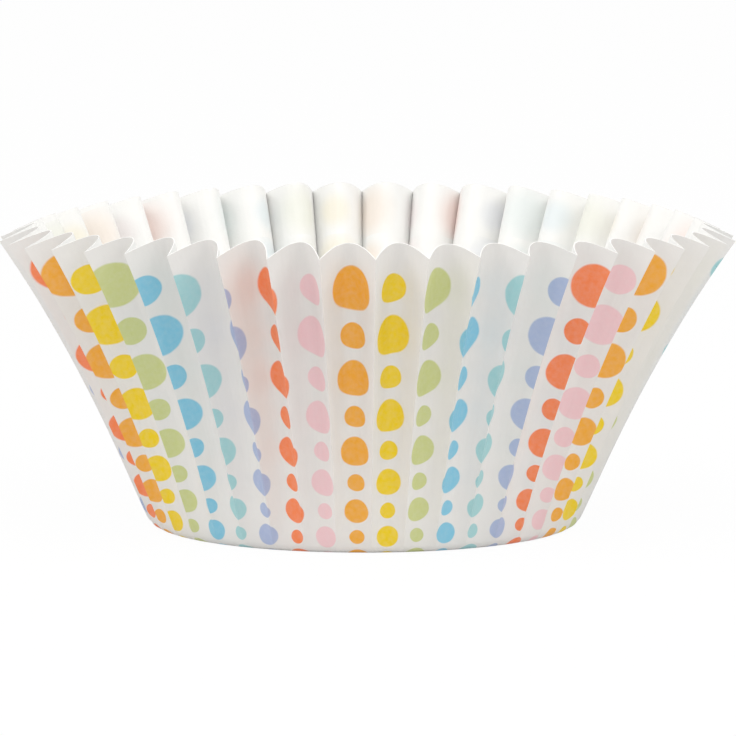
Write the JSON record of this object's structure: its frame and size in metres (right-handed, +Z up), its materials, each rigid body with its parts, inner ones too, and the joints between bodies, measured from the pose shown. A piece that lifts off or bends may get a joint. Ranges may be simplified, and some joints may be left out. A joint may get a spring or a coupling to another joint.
{
  "type": "cupcake liner",
  "caption": "Open fluted paper baking cup with a flat round bottom and a pleated wall that flares to an uneven rim.",
  "frame": {"origin": "centre of the flat round bottom, on its underside, where the cup stands", "axes": "+Z up, out of the open mouth; -Y to the front and +X to the right; the rim is a little wider along X than along Y"},
  "size_m": [0.0842, 0.079, 0.0359],
  "materials": {
    "paper": "matt"
  },
  "bodies": {
    "root": {"paper_liner": "paper"}
  },
  "joints": []
}
